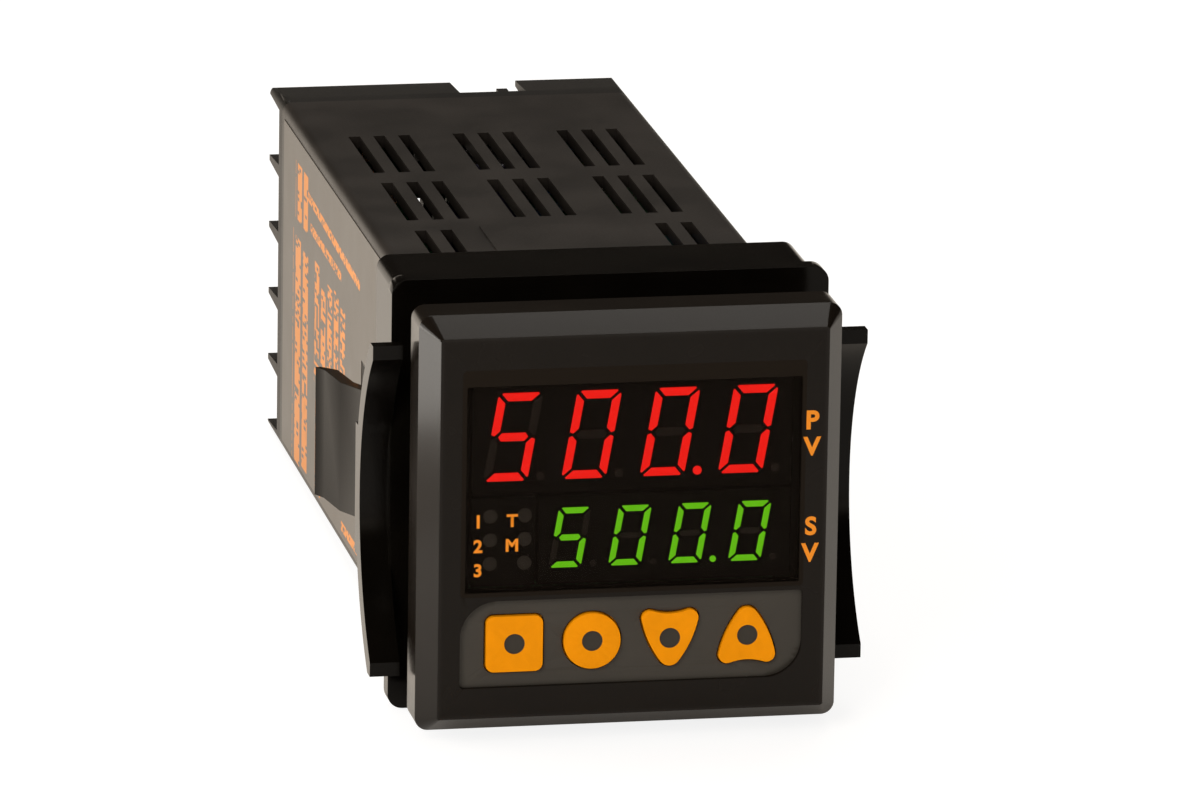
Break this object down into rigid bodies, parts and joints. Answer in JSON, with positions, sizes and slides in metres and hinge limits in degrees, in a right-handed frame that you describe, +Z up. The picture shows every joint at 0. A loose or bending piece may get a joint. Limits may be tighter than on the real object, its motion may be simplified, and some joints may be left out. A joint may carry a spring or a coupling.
{
  "type": "pid controller",
  "caption": "Panel-mount PID temperature controller with a two-row digital display, orange keys, a vented case, rear screw terminals and a sliding mounting frame.",
  "frame": {"origin": "middle of the bezel's rear face, which seats on the front of the panel", "axes": "+Y rearward through the panel cut-out, +X to the right seen from the front, +Z up"},
  "size_m": [0.0576, 0.1234, 0.05],
  "materials": {
    "bezel_black": "satin black moulding",
    "smoked_window": "smoked clear plastic",
    "key_panel_grey": "satin grey",
    "key_orange": "smooth silicone orange with a dark centre dot",
    "case_black": "fine grained black moulding",
    "frame_black": "glossy black moulding",
    "label_sheet": "printed film, orange fields on dark grey",
    "terminal_black": "glass filled black moulding",
    "zinc_steel": "zinc plated",
    "tinned_brass": "tinned",
    "circuit_board": "green solder mask",
    "module_grey": "dark display filter",
    "red_light": "lit red segment",
    "green_light": "lit green segment",
    "unlit_segment": "unlit segment",
    "switch_black": "moulded",
    "lamination": "varnished laminations",
    "copper_winding": "winding under yellow tape",
    "can_sleeve": "printed sleeve with an aluminium top",
    "relay_blue": "moulded case",
    "film_red": "dipped case",
    "chip_black": "moulded epoxy",
    "connector_cream": "nylon header"
  },
  "bodies": {
    "controller": {"front_bezel": "bezel_black", "display_window": "smoked_window", "key_panel": "key_panel_grey", "switch_bodies": "switch_black", "red_display_module": "module_grey", "green_display_module": "module_grey", "lamp_holder": "module_grey", "red_lit_segments": "red_light", "red_unlit_segments": "unlit_segment", "green_lit_segments": "green_light", "green_unlit_segments": "unlit_segment", "indicator_lamps": "unlit_segment", "case_sleeve": "case_black", "side_label": "label_sheet", "terminal_block": "terminal_black", "terminal_strips": "tinned_brass", "terminal_clamps": "zinc_steel", "terminal_screws": "zinc_steel", "display_board": "circuit_board", "power_board": "circuit_board", "side_board": "circuit_board", "rear_board": "circuit_board", "board_connectors": "connector_cream", "transformer_core": "lamination", "transformer_winding": "copper_winding", "tall_capacitor": "can_sleeve", "short_capacitor": "can_sleeve", "fuse": "chip_black", "film_capacitor": "film_red", "varistor": "relay_blue", "relays": "relay_blue", "microcontroller": "chip_black"},
    "panel_frame": {"mounting_frame": "frame_black"},
    "square_key": {"key_square": "key_orange", "switch_plunger_square": "switch_black"},
    "circle_key": {"key_circle": "key_orange", "switch_plunger_circle": "switch_black"},
    "down_key": {"key_down": "key_orange", "switch_plunger_down": "switch_black"},
    "up_key": {"key_up": "key_orange", "switch_plunger_up": "switch_black"}
  },
  "joints": [
    {"name": "frame_slide", "type": "slide", "parent": "controller", "child": "panel_frame", "axis": [0, 1, 0], "range_m": [-0.0069, 0.096]},
    {"name": "square_key_press", "type": "slide", "parent": "controller", "child": "square_key", "axis": [0, 1, 0], "range_m": [0, 0.0005], "stiffness_N_per_m": 1200, "springref_m": -0.0004},
    {"name": "circle_key_press", "type": "slide", "parent": "controller", "child": "circle_key", "axis": [0, 1, 0], "range_m": [0, 0.0005], "stiffness_N_per_m": 1200, "springref_m": -0.0004},
    {"name": "down_key_press", "type": "slide", "parent": "controller", "child": "down_key", "axis": [0, 1, 0], "range_m": [0, 0.0005], "stiffness_N_per_m": 1200, "springref_m": -0.0004},
    {"name": "up_key_press", "type": "slide", "parent": "controller", "child": "up_key", "axis": [0, 1, 0], "range_m": [0, 0.0005], "stiffness_N_per_m": 1200, "springref_m": -0.0004}
  ]
}
